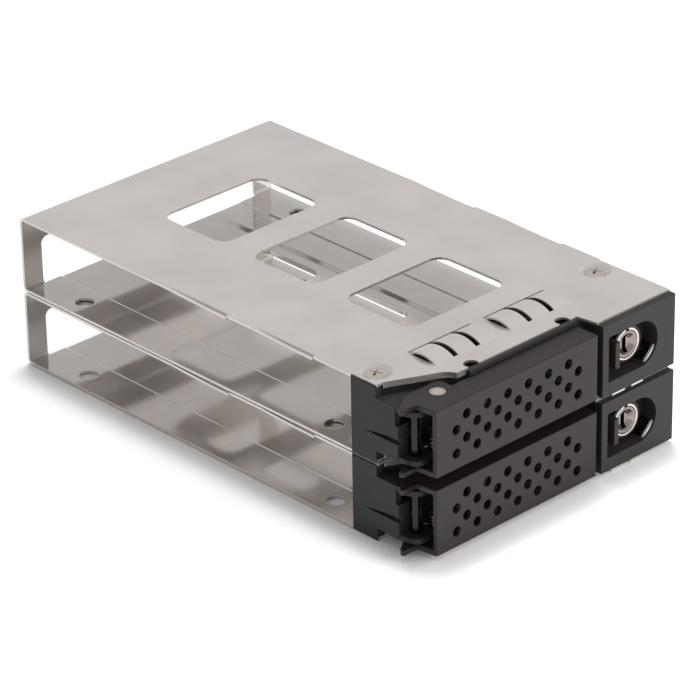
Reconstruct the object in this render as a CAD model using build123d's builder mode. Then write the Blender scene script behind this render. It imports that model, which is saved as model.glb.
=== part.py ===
"""Two hot swap drive trays, stacked: sheet steel shells with a black latch frame, lever and key lock.

Tray frame: X = 0 at the left edge, Y = 0 at the front face of the lock block, Z = 0 under the pan.
"""
from build123d import *
from math import cos, radians, sin
import os

# Drive that the tray carries, in mm
drive_width = 69.85
drive_height = 15.0
drive_hole_across = 61.72
drive_hole_along = 76.6

# Clearances shared by all pieces
seat_gap = 0.02
running_gap = 0.05
fit_gap = 0.1
move_gap = 0.3

# Sheet steel shell
sheet = 0.6
side_play = 0.575
bay_play = 1.0
tray_length = 121.8
pan_drop = 0.2
pan_margin = 9.3
pan_slope = 0.5
pan_front = 24.0
bend_radius = 0.9
rear_leg_width = 5.0
rear_band_height = 6.2
rear_opening_radius = 1.6
window_width = 28.0
window_length = 19.5
window_pitch = 27.6
window_radius = 3.0
window_front = 26.3
drive_hole_radius = 2.05
rear_hole_to_rear = 14.6
bead_width = 6.4
bead_from_right = 12.9
bead_height = 0.6
bead_slope = 50
bead_end_gap = 3.0
tongue_width = 0.5
tongue_slit = 0.05
tongue_end_gap = 0.2
tongue_dip = 0.3
tongue_tip_dip = 0.45
tongue_lap = 0.15
tongue_spans = ((31.4, 47.4), (56.6, 74.5))

# Front edge of both plates
skin = 0.35
frame_depth = 20.7
front_edge = 6.4
nose_edge = 1.5
step_rear = 48.7
step_front = 49.5
curve_end = 14.9
curve_bow = 0.2
notch_radius = 1.6
notch_rise = 0.7
notch_places = (19.5, 45.3)
lip_height = 1.4
lip_end = 17.5

# Spring fingers pressed out of both plates
finger_front = 11.6
finger_rear = 19.4
finger_width = 4.9
finger_slot = 1.3
fingers_in_group = 3
finger_groups = (14.2, 35.2)
finger_sheet = 0.45
finger_tip_gap = 0.35
finger_free_rise = 1.1
finger_pressed_rise = 0.08
nose_spring_rise = 0.15
nose_spring_front = 0.3
nose_spring_rear = 5.2
nose_springs = ((53.0, 56.7), (58.7, 62.0))

# Lever and its hinge
hinge_x = 3.3
hinge_y = 6.2
hinge_pin_radius = 1.1
hub_radius = 2.3
ear_radius = 3.2
lug_radius = 5.8
lug_sweep_gap = 0.6
lug_overhang = 2.3
lug_inner = 1.6
lug_tip_radius = 0.6
lug_tip_turn = radians(132)
slant = radians(25.1)
slant_back = -4.25
slant_ahead = 7.83
lever_left = 2.3
lever_right = 47.5
lever_front = -0.5
lever_rear = 5.1
lever_height = 14.6
web = 1.0
flange = 1.1
shoulder_x = 11.0
shoulder_y = 8.6
lever_corner_radius = 1.5
vent_radius = 1.08
vent_pitch = 5.7
vent_row_pitch = 2.6
vent_rows = (6, 7, 6, 7)
post_x = 8.4
post_y = 5.2
post_radius = 1.3
post_head_radius = 1.6
post_proud = 0.12
post_groove = 0.12
blind_cover = 0.4

# Torsion spring on the post
wire = 0.6
coil_radius = 2.1
coil_turns = 3.5
coil_pitch = 0.8
leg_length = 3.6

# Frame casting
wall = 1.6
ear_gap = 0.3
ear_thick = 1.1
shelf_thick = 1.0
shelf_drop = 1.6
lip_step = 0.4
cheek_post_face = 7.7
cheek_post_drop = 4.1
cheek_post_width = 3.2
cheek_front = 8.5
block_left = 49.7
block_inset = 0.6
cheek_inset = 0.35
front_wall_front = 5.5
vent_window_left = 20.0
vent_window_right = 39.0
groove_tip = 17.3
groove_depth = 0.8
groove_height = 1.1
groove_below_mid = 2.2

# Recess in the lock block, and the thumb tab in it
recess_left = 51.4
recess_right = 65.9
recess_height = 10.2
recess_depth = 3.9
recess_floor = 1.4
thumb_x = 53.6
thumb_width = 1.2
thumb_height = 5.8
slide_travel = 1.5
slide_plate_left = 52.4
slide_plate_right = 55.2
slide_plate_height = 7.2
slide_plate_front = 7.4
slide_thick = 1.3
slide_lap = 0.4
rail_left = 52.9
rail_end = 10.2

# Catch on the lever, arm of the slide and spring leaf between them
catch_left = 45.1
catch_width = 1.4
catch_height = 3.0
catch_end = 10.5
barb_reach = 1.2
barb_length = 1.2
leaf_thick = 0.3
leaf_rear = 19.0
leaf_hook_lap = 1.0
leaf_boss_width = 3.8
leaf_boss_front = 14.0
leaf_screw_y = 16.6
leaf_screw_radius = 0.7
leaf_screw_head = 1.3
leaf_screw_length = 3.0
arm_height = 1.6
arm_floor_gap = 0.4

# Key lock
lock_x = 59.2
lock_face = 2.2
collar_radius = 4.2
barrel_radius = 3.5
barrel_end = 11.0
ring_radius = 3.7
ring_width = 0.75
ring_depth = 0.9
ring_proud = 0.15
ring_notch = 0.6
plug_head_radius = 3.3
plug_head_depth = 0.8
plug_body_radius = 2.6
stud_radius = 1.5
stud_end = 12.4
spigot_radius = 1.1
plug_dish_radius = 2.4
plug_dish_depth = 0.9
plug_dish_slope = 50
key_slot_width = 1.1
key_slot_height = 4.0
key_slot_depth = 6.0
cam_thick = 1.2
cam_hub_radius = 2.0
cam_arm_width = 2.0
cam_reach = 4.0
dog_radius = 0.6
dog_gap = 0.4
tongue_bar_height = 1.0
tongue_thick = 1.0
cam_screw_radius = 1.8
cam_screw_head = 1.0
cam_screw_shank = 0.6
cam_screw_length = 4.0
clip_thick = 0.6
clip_radius = 4.4
clip_groove = 0.3
clip_mouth = 5.6

# Screws that hold the plates to the frame
plate_screw_side = 4.3
plate_screw_y = 18.0
screw_radius = 1.5
screw_head_radius = 2.3
screw_head_height = 0.75
screw_length = 4.5
screw_edge = 0.35
dimple_radius = 3.4
dimple_floor_radius = 2.6
dimple_foot_radius = 3.1
dimple_depth = 0.7
cross_width = 0.5
cross_length = 2.6
cross_depth = 0.4

# Status light lens and its light pipe
lens_chord = 4.3
lens_front = 0.5
light_pipe_radius = 0.9
light_pipe_end = 14.0

# Worked out from the values above
tray_width = drive_width + 2 * side_play
shell_height = drive_height + bay_play + 2 * sheet
floor_low = pan_drop
floor_top = floor_low + sheet
roof_top = floor_low + shell_height
roof_low = roof_top - sheet
mid_z = (floor_low + roof_top) / 2
stack_pitch = roof_top
rear_edge = tray_length - bend_radius - sheet / 2
lever_low = mid_z - lever_height / 2
lever_top = mid_z + lever_height / 2
ear_top = lever_top - flange - ear_gap
ear_low = lever_low + flange + ear_gap
shelf_top = roof_low - shelf_drop
shelf_low = floor_top + shelf_drop
cavity_top = shelf_top - shelf_thick
cavity_low = shelf_low + shelf_thick
front_wall_rear = front_wall_front + wall
recess_radius = recess_height / 2
recess_centre_x = recess_right - recess_radius
recess_back = recess_depth + recess_floor
block_inner_left = block_left + wall
block_inner_right = tray_width - wall
block_middle = (block_left + tray_width) / 2
slide_plate_rear = slide_plate_front + slide_thick
arm_low = cavity_low + arm_floor_gap
barb_front = catch_end - barb_length
barb_left = catch_left - barb_reach
leaf_front = barb_front - fit_gap - leaf_thick
leaf_left = barb_left - move_gap - leaf_thick
leaf_right = leaf_left + leaf_thick
leaf_top = mid_z + catch_height / 2
tongue_front = barrel_end + fit_gap
tongue_low = mid_z + dog_radius + dog_gap
tooth_left = lock_x - cam_reach + dog_radius + dog_gap
plug_radius = ring_radius - ring_width - running_gap
shift_x = (tray_width - lug_overhang) / 2
shift_y = (tray_length + lever_front) / 2


def slant_point(run, inset=0.0):
    """Point on the slanted front edge, a run along it from the foot of the hinge normal, and inset behind it."""
    reach = lug_radius + lug_sweep_gap + inset
    x = hinge_x + reach * sin(slant) + run * cos(slant)
    y = hinge_y + reach * cos(slant) - run * sin(slant)
    return (x, y)


def arc_middle(start, end, bow):
    """Middle point of an arc from start to end that bows to the left of its chord."""
    along_x = end[0] - start[0]
    along_y = end[1] - start[1]
    chord = (along_x**2 + along_y**2) ** 0.5
    return ((start[0] + end[0]) / 2 - bow * along_y / chord, (start[1] + end[1]) / 2 + bow * along_x / chord)


def plate_face():
    """Plan outline of the two plates, with the round notches in their front edge."""
    start = slant_point(slant_back)
    end = slant_point(slant_ahead)
    turn = (curve_end, front_edge)
    with BuildSketch() as outline:
        with BuildLine():
            Polyline(
                turn,
                (step_rear, front_edge),
                (step_front, nose_edge),
                (tray_width - skin, nose_edge),
                (tray_width - skin, frame_depth),
                (tray_width, frame_depth),
                (tray_width, tray_length),
                (0, tray_length),
                (0, frame_depth),
                (skin, frame_depth),
                (skin, start[1]),
                start,
                end,
            )
            ThreePointArc(end, arc_middle(end, turn, curve_bow), turn)
        make_face()
        with Locations(*[(x, front_edge + notch_rise) for x in notch_places]):
            Circle(notch_radius, mode=Mode.SUBTRACT)
    return outline.sketch


def lip_face():
    """Strip one sheet thick along the slanted edge and its curve, for the turned down lip."""
    half = sheet / 2
    start = slant_point(slant_back, half)
    end = slant_point(slant_ahead, half)
    turn = (curve_end + half, front_edge + half)
    with BuildSketch() as strip:
        with BuildLine():
            Line(start, end)
            ThreePointArc(end, arc_middle(end, turn, curve_bow), turn)
            Line(turn, (lip_end, front_edge + half))
        trace(line_width=sheet)
    return strip.sketch


def arch_face(front, rear, level, rise, thickness, front_drop=0.0):
    """Bowed strip in the YZ plane at one level, its middle raised by rise and its front end dropped."""
    with BuildSketch() as strip:
        with BuildLine():
            ThreePointArc((front, level - front_drop), ((front + rear) / 2, level + rise), (rear, level))
        trace(line_width=thickness)
    return strip.sketch


def finger_pocket_centres():
    """Plan centre of each group of spring fingers."""
    return [(group + group_width / 2, (finger_front + finger_rear) / 2) for group in finger_groups]


def plate_screw_places():
    """Plan centre of the screws of one plate."""
    return [(plate_screw_side, plate_screw_y), (tray_width - plate_screw_side, plate_screw_y)]


group_width = fingers_in_group * finger_width + (fingers_in_group - 1) * finger_slot


def build_shell(top_rise, bottom_rise):
    """Wrapped shell: roof, rear wall and floor in one sheet, with windows, pan, tongues and fingers."""
    window_rows = [window_front + window_length / 2 + i * window_pitch for i in range(3)]
    hole_rows = [tray_length - rear_hole_to_rear - i * drive_hole_along for i in range(2)]
    pan_right = tray_width - pan_margin
    slope_right = pan_right - pan_slope
    slope_left = pan_margin + pan_slope
    with BuildPart() as shell:
        with BuildSketch(Plane.YZ):
            with BuildLine():
                FilletPolyline(
                    (0, roof_top - sheet / 2),
                    (tray_length - sheet / 2, roof_top - sheet / 2),
                    (tray_length - sheet / 2, floor_low + sheet / 2),
                    (0, floor_low + sheet / 2),
                    radius=bend_radius,
                )
            trace(line_width=sheet)
        extrude(amount=tray_width)
        with BuildSketch():
            add(plate_face())
        extrude(amount=roof_top + sheet, mode=Mode.INTERSECT)
        # Turned lips along the slanted edge of the roof and of the floor
        with BuildSketch(Plane.XY.offset(roof_top - lip_height)):
            add(lip_face())
        extrude(amount=lip_height - sheet / 2)
        with BuildSketch(Plane.XY.offset(floor_low + sheet / 2)):
            add(lip_face())
        extrude(amount=lip_height - sheet / 2)
        # Connector opening in the rear wall, down through the bend of the floor
        opening_top = roof_top - rear_band_height
        opening_low = -2 * rear_opening_radius
        with BuildSketch(Plane.XZ.offset(-tray_length - sheet)):
            with Locations((tray_width / 2, (opening_top + opening_low) / 2)):
                RectangleRounded(tray_width - 2 * rear_leg_width, opening_top - opening_low, rear_opening_radius)
        extrude(amount=tray_length + sheet - rear_edge, mode=Mode.SUBTRACT)
        # Pan pressed down between the side rails
        with BuildSketch(Plane.XY.offset(floor_low - sheet)):
            with Locations((tray_width / 2, (pan_front + rear_edge) / 2)):
                Rectangle(pan_right - pan_margin, rear_edge - pan_front)
        extrude(amount=3 * sheet, mode=Mode.SUBTRACT)
        with BuildSketch(Plane.XZ.offset(-pan_front)):
            with BuildLine():
                Polyline(
                    (pan_margin, floor_top),
                    (slope_left, sheet),
                    (slope_right, sheet),
                    (pan_right, floor_top),
                    (pan_right, floor_low),
                    (slope_right, 0),
                    (slope_left, 0),
                    (pan_margin, floor_low),
                    close=True,
                )
            make_face()
        extrude(amount=-(rear_edge - pan_front))
        with BuildSketch(Plane.XZ.offset(-pan_front)):
            with BuildLine():
                Polyline(
                    (pan_margin, floor_top),
                    (pan_right, floor_top),
                    (pan_right, floor_low),
                    (slope_right, 0),
                    (slope_left, 0),
                    (pan_margin, floor_low),
                    close=True,
                )
            make_face()
        extrude(amount=-sheet)
        # Long bead that stands up from the pan along its right side
        bead_length = rear_edge - pan_front - 2 * bead_end_gap
        bead_middle = (rear_edge + pan_front) / 2
        bead_x = tray_width - bead_from_right - bead_width / 2
        with BuildSketch(Plane.XY.offset(sheet / 2)):
            with Locations((bead_x, bead_middle)):
                SlotOverall(bead_length, bead_width, rotation=90)
        extrude(amount=bead_height + sheet / 2, taper=bead_slope)
        with BuildSketch():
            with Locations((bead_x, bead_middle)):
                SlotOverall(bead_length - 2 * sheet, bead_width - 2 * sheet, rotation=90)
        extrude(amount=bead_height, taper=bead_slope, mode=Mode.SUBTRACT)
        # Windows through roof and pan
        with BuildSketch():
            with Locations(*[(tray_width / 2, y) for y in window_rows]):
                RectangleRounded(window_width, window_length, window_radius)
        extrude(amount=roof_top, mode=Mode.SUBTRACT)
        # Screw holes for the drive
        with BuildSketch():
            for side in (-1, 1):
                with Locations(*[(tray_width / 2 + side * drive_hole_across / 2, y) for y in hole_rows]):
                    Circle(drive_hole_radius)
        extrude(amount=floor_top + sheet, mode=Mode.SUBTRACT)
        # Dimples for the plate screws, pressed towards the frame
        for face, sign in ((roof_top, -1), (floor_low, 1)):
            with BuildSketch(Plane.XY.offset(face + sign * sheet / 2)):
                with Locations(*plate_screw_places()):
                    Circle(dimple_foot_radius)
            extrude(amount=sign * (dimple_depth + sheet / 2))
            with BuildSketch(Plane.XY.offset(face)):
                with Locations(*plate_screw_places()):
                    Circle(dimple_radius)
            extrude(amount=sign * dimple_depth, taper=50, mode=Mode.SUBTRACT)
            with BuildSketch(Plane.XY.offset(face)):
                with Locations(*plate_screw_places()):
                    Circle(screw_radius + fit_gap)
            extrude(amount=sign * 4 * sheet, mode=Mode.SUBTRACT)
        # Long spring tongues beside the drive, held at the rear and dipped at the front
        for front, rear in tongue_spans:
            for left, slit_left in ((0, 0), (tray_width - tongue_width, tray_width - tongue_width - tongue_slit)):
                with BuildSketch(Plane.XY.offset(roof_low - sheet)):
                    with Locations((slit_left + (tongue_width + tongue_slit) / 2, (front + rear) / 2)):
                        Rectangle(tongue_width + tongue_slit, rear - front)
                extrude(amount=3 * sheet, mode=Mode.SUBTRACT)
                with BuildSketch(Plane.YZ.offset(left)):
                    level = roof_top - sheet / 2
                    add(arch_face(front + tongue_end_gap, rear + tongue_lap, level, -tongue_dip, sheet, tongue_tip_dip))
                extrude(amount=tongue_width)
        # Spring fingers in both plates
        with BuildSketch():
            with Locations(*finger_pocket_centres()):
                Rectangle(group_width, finger_rear - finger_front)
        extrude(amount=roof_top + sheet, mode=Mode.SUBTRACT)
        finger_lefts = [g + i * (finger_width + finger_slot) for g in finger_groups for i in range(fingers_in_group)]
        finger_end = finger_rear - finger_tip_gap
        for face, sign, rise in ((roof_top, -1, top_rise), (floor_low, 1, -bottom_rise)):
            level = face + sign * finger_sheet / 2
            for left in finger_lefts:
                with BuildSketch(Plane.YZ.offset(left)):
                    add(arch_face(finger_front - tongue_lap, finger_end, level, rise, finger_sheet))
                extrude(amount=finger_width)
        # Two short springs under the lock block
        level = floor_low + finger_sheet / 2
        for left, right in nose_springs:
            with BuildSketch(Plane.YZ.offset(left)):
                add(arch_face(nose_spring_front, nose_spring_rear, level, -nose_spring_rise, finger_sheet, nose_spring_rise))
            extrude(amount=right - left)
    return shell.part


# Latch frame: one black casting between the plates
behind = sheet + fit_gap
turn_x = curve_end + behind
turn_y = front_edge + behind
frame_face_height = shell_height - 2 * block_inset
with BuildPart() as latch_frame:
    # Left cheek, full height behind the slanted edge and lower in front of it
    cheek_y = slant_point(slant_back)[1]
    with BuildSketch(Plane.XY.offset(floor_top)):
        with Locations((wall / 2, (cheek_y + frame_depth) / 2)):
            Rectangle(wall, frame_depth - cheek_y)
    extrude(amount=roof_low - floor_top)
    with BuildSketch(Plane.XY.offset(floor_low)):
        with Locations((skin / 2, (cheek_y + frame_depth) / 2)):
            Rectangle(skin - seat_gap, frame_depth - cheek_y - 2 * seat_gap)
        with Locations((tray_width - skin / 2, (nose_edge + frame_depth) / 2)):
            Rectangle(skin - seat_gap, frame_depth - nose_edge - 2 * seat_gap)
    extrude(amount=shell_height - cheek_inset)
    with BuildSketch(Plane.XY.offset(ear_low)):
        with Locations((wall / 2, (cheek_front + cheek_y + wall) / 2)):
            Rectangle(wall, cheek_y + wall - cheek_front)
    extrude(amount=ear_top - ear_low)
    with BuildSketch(Plane.XY.offset(ear_low)):
        with Locations((cheek_post_width / 2, (cheek_post_face + cheek_front + wall) / 2)):
            Rectangle(cheek_post_width, cheek_front + wall - cheek_post_face)
    extrude(amount=ear_top - cheek_post_drop - ear_low)
    # Slanted wall behind the hub of the lever, joined to the straight front wall
    with BuildSketch(Plane.XY.offset(floor_top)):
        with BuildLine():
            Polyline(
                (0, cheek_y + fit_gap),
                slant_point(slant_back, behind),
                slant_point(slant_ahead, behind),
                arc_middle(slant_point(slant_ahead, behind), (turn_x, turn_y), curve_bow + fit_gap),
                (turn_x + fit_gap, turn_y),
                (lip_end + fit_gap, turn_y),
                (lip_end + fit_gap, front_wall_front),
                (block_inner_left, front_wall_front),
                (block_inner_left, front_wall_rear),
                (lip_end + wall, front_wall_rear),
                (lip_end + wall, turn_y + wall),
                (turn_x + wall / 2, turn_y + wall),
                slant_point(slant_ahead, behind + wall),
                slant_point(slant_back, behind + wall),
                (0, cheek_y + wall),
                close=True,
            )
        make_face()
    extrude(amount=roof_low - floor_top)
    # Lip in front of both plates
    with BuildSketch(Plane.XY.offset(floor_low + lip_step)):
        with Locations(((lip_end + step_rear) / 2, (front_wall_front + front_edge) / 2)):
            Rectangle(step_rear - lip_end - 4 * fit_gap, front_edge - front_wall_front - 2 * fit_gap)
    extrude(amount=shell_height - 2 * lip_step)
    # Shelves over and under the mechanism, and the cross rails that carry their rear edges
    for low in (cavity_top, shelf_low):
        with BuildSketch(Plane.XY.offset(low)):
            with BuildLine():
                Polyline(
                    (wall / 2, cheek_y + wall / 2),
                    slant_point(slant_back, behind + wall / 2),
                    slant_point(slant_ahead, behind + wall / 2),
                    (lip_end + wall / 2, turn_y + wall / 2),
                    (lip_end + wall / 2, front_wall_front + wall / 2),
                    (block_inner_left, front_wall_front + wall / 2),
                    (block_inner_left, frame_depth),
                    (wall / 2, frame_depth),
                    close=True,
                )
            make_face()
        extrude(amount=shelf_thick)
    for low, high in ((cavity_top, roof_low), (floor_top, cavity_low)):
        with BuildSketch(Plane.XY.offset(low)):
            with Locations((tray_width / 2, (finger_rear + frame_depth) / 2)):
                Rectangle(tray_width - wall, frame_depth - finger_rear)
        extrude(amount=high - low)
    # Ears that hold the hinge pin
    for low in (ear_top - ear_thick, ear_low):
        with BuildSketch(Plane.XY.offset(low)):
            with Locations((hinge_x, hinge_y)):
                Circle(ear_radius)
            with BuildLine():
                Polyline(
                    (hinge_x - ear_radius, hinge_y),
                    (hinge_x + ear_radius, hinge_y),
                    (hinge_x + ear_radius, hinge_y + ear_radius),
                    slant_point(slant_ahead, behind + wall / 2),
                    slant_point(slant_back, behind + wall / 2),
                    (hinge_x - ear_radius, cheek_y + wall / 2),
                    close=True,
                )
            make_face()
        extrude(amount=ear_thick)
    with Locations(Location((hinge_x, hinge_y, mid_z))):
        Cylinder(hinge_pin_radius + seat_gap, shell_height, mode=Mode.SUBTRACT)
    # Lock block: fascia in front of the plates and body between them
    with BuildSketch(Plane.XY.offset(floor_top)):
        with Locations((block_middle, (nose_edge + frame_depth) / 2)):
            Rectangle(tray_width - block_left, frame_depth - nose_edge)
    extrude(amount=roof_low - floor_top)
    with BuildSketch(Plane.XZ):
        with Locations((block_middle, mid_z)):
            Rectangle(tray_width - block_left, frame_face_height)
    extrude(amount=-(nose_edge - fit_gap))
    with BuildSketch(Plane.XZ.offset(-nose_edge / 2)):
        with Locations((block_middle, mid_z)):
            Rectangle(tray_width - block_left, roof_low - floor_top)
    extrude(amount=-nose_edge)
    with BuildSketch(Plane.XZ.offset(-recess_back)):
        with Locations((block_middle, mid_z)):
            Rectangle(block_inner_right - block_inner_left, cavity_top - cavity_low)
    extrude(amount=-(frame_depth - recess_back), mode=Mode.SUBTRACT)
    with BuildSketch(Plane.XZ.offset(-front_wall_rear)):
        with Locations((block_left + wall / 2, mid_z)):
            Rectangle(2 * wall, cavity_top - cavity_low)
    extrude(amount=-(frame_depth - front_wall_rear), mode=Mode.SUBTRACT)
    # Recess with a flat left end and a round right end, and the openings in its floor
    with BuildSketch(Plane.XZ):
        with Locations(((recess_left + recess_centre_x) / 2, mid_z)):
            Rectangle(recess_centre_x - recess_left, recess_height)
        with Locations((recess_centre_x, mid_z)):
            Circle(recess_radius)
    extrude(amount=-recess_depth, mode=Mode.SUBTRACT)
    slot_left = thumb_x - slide_travel - move_gap
    slot_right = thumb_x + thumb_width + move_gap
    pipe_reach = (recess_radius - light_pipe_radius) * sin(radians(45))
    with BuildSketch(Plane.XZ):
        with Locations((lock_x, mid_z)):
            Circle(barrel_radius + seat_gap)
        with Locations(((slot_left + slot_right) / 2, mid_z)):
            Rectangle(slot_right - slot_left, thumb_height + 2 * move_gap)
        with Locations((recess_centre_x + pipe_reach, mid_z - pipe_reach)):
            Circle(light_pipe_radius + seat_gap)
    extrude(amount=-(recess_back + wall / 2), mode=Mode.SUBTRACT)
    # Openings in the front wall for air and for the catch, and room under the spring fingers
    catch_right = catch_left + catch_width
    catch_opening_left = leaf_left - fit_gap
    catch_opening_right = catch_right + 2 * move_gap
    with BuildSketch(Plane.XZ.offset(-front_wall_front + wall)):
        with Locations(((vent_window_left + vent_window_right) / 2, mid_z)):
            Rectangle(vent_window_right - vent_window_left, cavity_top - cavity_low)
        with Locations(((catch_opening_left + catch_opening_right) / 2, mid_z)):
            Rectangle(catch_opening_right - catch_opening_left, catch_height + 4 * move_gap)
    extrude(amount=-3 * wall, mode=Mode.SUBTRACT)
    for low in (floor_top, shelf_top):
        with BuildSketch(Plane.XY.offset(low)):
            with Locations(*finger_pocket_centres()):
                Rectangle(group_width + 2 * move_gap, finger_rear - finger_front)
        extrude(amount=shelf_drop, mode=Mode.SUBTRACT)
    # Wedge shaped groove in the left face
    groove_z = mid_z - groove_below_mid
    with BuildSketch(Plane.YZ):
        with BuildLine():
            Polyline(
                (cheek_front - wall, groove_z),
                (groove_tip, groove_z),
                (cheek_front + wall, groove_z + groove_height),
                (cheek_front - wall, groove_z + groove_height),
                close=True,
            )
        make_face()
    extrude(amount=groove_depth, mode=Mode.SUBTRACT)
    # Grooved rails that guide the release slide
    rail_right = slide_plate_right + move_gap
    rail_reach = cavity_top - mid_z - slide_plate_height / 2 + slide_lap
    for low, groove_low in (
        (cavity_top - rail_reach, mid_z),
        (cavity_low, mid_z - slide_plate_height / 2 - 2 * fit_gap),
    ):
        with BuildSketch(Plane.XY.offset(low)):
            with Locations(((rail_left + rail_right) / 2, (recess_back + rail_end) / 2)):
                Rectangle(rail_right - rail_left, rail_end - recess_back)
        extrude(amount=rail_reach)
        with BuildSketch(Plane.XY.offset(groove_low)):
            with Locations(((rail_left + rail_right) / 2, (slide_plate_front + slide_plate_rear) / 2)):
                Rectangle(rail_right - rail_left, slide_thick + 4 * fit_gap)
        extrude(amount=slide_plate_height / 2 + 2 * fit_gap, mode=Mode.SUBTRACT)
    # Boss for the spring leaf
    with BuildSketch(Plane.XY.offset(cavity_low)):
        with Locations((leaf_left - leaf_boss_width / 2, (leaf_boss_front + leaf_rear) / 2)):
            Rectangle(leaf_boss_width, leaf_rear - leaf_boss_front)
    extrude(amount=leaf_top - cavity_low)
    with BuildSketch(Plane.YZ.offset(leaf_left)):
        with Locations((leaf_screw_y, mid_z)):
            Circle(leaf_screw_radius + seat_gap)
    extrude(amount=-leaf_screw_length, mode=Mode.SUBTRACT)
    # Bosses for the plate screws, seated under the dimples
    for face, sign in ((roof_top, -1), (floor_low, 1)):
        seat = face + sign * (dimple_depth + sheet)
        with BuildSketch(Plane.XY.offset(face + sign * sheet)):
            with Locations(*plate_screw_places()):
                Circle(dimple_radius)
        extrude(amount=sign * dimple_depth, mode=Mode.SUBTRACT)
        with BuildSketch(Plane.XY.offset(seat)):
            with Locations(*plate_screw_places()):
                Circle(dimple_floor_radius)
        extrude(amount=sign * screw_length)
        with BuildSketch(Plane.XY.offset(seat)):
            with Locations(*plate_screw_places()):
                Circle(screw_radius + seat_gap)
        extrude(amount=sign * (screw_length - fit_gap), mode=Mode.SUBTRACT)

# Lever: perforated channel with a hooked hub at its left end
hub_left = (hinge_x - hub_radius * sin(radians(50)), hinge_y + hub_radius * cos(radians(50)))
lug_x = lug_tip_radius - lug_overhang
lug_y = hinge_y - ((lug_radius - lug_tip_radius) ** 2 - (hinge_x - lug_x) ** 2) ** 0.5
lug_rear = (lug_x + lug_tip_radius * cos(lug_tip_turn), lug_y + lug_tip_radius * sin(lug_tip_turn))
with BuildPart() as lever:
    with BuildSketch(Plane.XZ.offset(-lever_front)) as web_face:
        with Locations(((lever_left + lever_right) / 2, mid_z)):
            Rectangle(lever_right - lever_left, lever_height)
        right_corners = web_face.vertices().group_by(Axis.X)[-1]
        fillet(right_corners, radius=lever_corner_radius)
    extrude(amount=-web)
    for low in (lever_low, lever_top - flange):
        with BuildSketch(Plane.XY.offset(low)):
            with BuildLine():
                Polyline(
                    (hinge_x, hinge_y + hub_radius),
                    (shoulder_x, shoulder_y),
                    (shoulder_x + flange, shoulder_y - flange),
                    (shoulder_x + flange, lever_rear),
                    (lever_right, lever_rear),
                    (lever_right, lever_front),
                    (lever_left, lever_front),
                    (lug_inner, lug_y - lug_tip_radius),
                    (lug_x, lug_y - lug_tip_radius),
                )
                ThreePointArc((lug_x, lug_y - lug_tip_radius), (lug_x - lug_tip_radius, lug_y), lug_rear)
                Line(lug_rear, hub_left)
                ThreePointArc(
                    hub_left,
                    (hinge_x - hub_radius * sin(radians(25)), hinge_y + hub_radius * cos(radians(25))),
                    (hinge_x, hinge_y + hub_radius),
                )
            make_face()
        extrude(amount=flange)
    # Right end wall with the barbed catch
    with BuildSketch(Plane.XY.offset(mid_z - catch_height / 2)):
        with BuildLine():
            Polyline(
                (catch_left, lever_front + web / 2),
                (catch_left, barb_front),
                (barb_left, barb_front),
                (catch_left - barb_reach / 3, catch_end),
                (catch_right, catch_end),
                (catch_right, lever_front + web / 2),
                close=True,
            )
        make_face()
    extrude(amount=catch_height)
    # Staggered air holes
    with BuildSketch(Plane.XZ.offset(-lever_front)):
        for row, count in enumerate(vent_rows):
            row_z = mid_z + ((len(vent_rows) - 1) / 2 - row) * vent_row_pitch
            with Locations(((lever_left + lever_right) / 2, row_z)):
                with GridLocations(vent_pitch, vent_row_pitch, count, 1):
                    Circle(vent_radius)
    extrude(amount=-web, mode=Mode.SUBTRACT)
    # Hinge holes, blind in the top flange, and holes for the spring post
    with BuildSketch(Plane.XY.offset(lever_low)):
        with Locations((hinge_x, hinge_y)):
            Circle(hinge_pin_radius + running_gap)
    extrude(amount=lever_height - blind_cover, mode=Mode.SUBTRACT)
    with BuildSketch(Plane.XY.offset(lever_low)):
        with Locations((post_x, post_y)):
            Circle(post_radius + seat_gap)
    extrude(amount=lever_height, mode=Mode.SUBTRACT)

# Pin that the lever turns on, pushed in from below
with BuildPart() as hinge_pin:
    with BuildSketch(Plane.XY.offset(lever_low + fit_gap)):
        with Locations((hinge_x, hinge_y)):
            Circle(hinge_pin_radius)
    extrude(amount=lever_height - blind_cover - 2 * fit_gap)
    chamfer(hinge_pin.edges().group_by(Axis.Z)[0], length=fit_gap)

# Post across the channel that carries the torsion spring, peened over the flanges
with BuildPart() as spring_post:
    with BuildSketch(Plane.XY.offset(lever_low - post_proud)):
        with Locations((post_x, post_y)):
            Circle(post_radius)
    extrude(amount=lever_height + 2 * post_proud)
    with BuildSketch(Plane.XY.offset(lever_low - post_proud)):
        with Locations((post_x, post_y)):
            Circle(post_head_radius)
    extrude(amount=post_proud)
    with BuildSketch(Plane.XY.offset(lever_top)):
        with Locations((post_x, post_y)):
            Circle(post_head_radius)
    extrude(amount=post_proud)
    with BuildSketch(Plane.XY.offset(lever_top + post_proud)):
        with Locations((post_x, post_y)):
            Circle(post_radius)
            Circle(post_radius - post_groove, mode=Mode.SUBTRACT)
    extrude(amount=-post_proud * 0.8, mode=Mode.SUBTRACT)

# Torsion spring: closed coil with two straight legs
coil_low = ear_low + ear_thick + move_gap + wire / 2
with BuildPart() as lever_spring:
    with BuildLine() as coil_path:
        coil = Helix(pitch=coil_pitch, height=coil_turns * coil_pitch, radius=coil_radius, center=(post_x, post_y, coil_low))
        start_tangent = coil % 0
        end_tangent = coil % 1
        Line(coil @ 0, (coil @ 0) - start_tangent * leg_length)
        Line(coil @ 1, (coil @ 1) + end_tangent * leg_length)
    with BuildSketch(Plane(origin=coil @ 0 - start_tangent * leg_length, z_dir=start_tangent)):
        Circle(wire / 2)
    sweep(path=coil_path.wires()[0], is_frenet=True)

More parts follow.
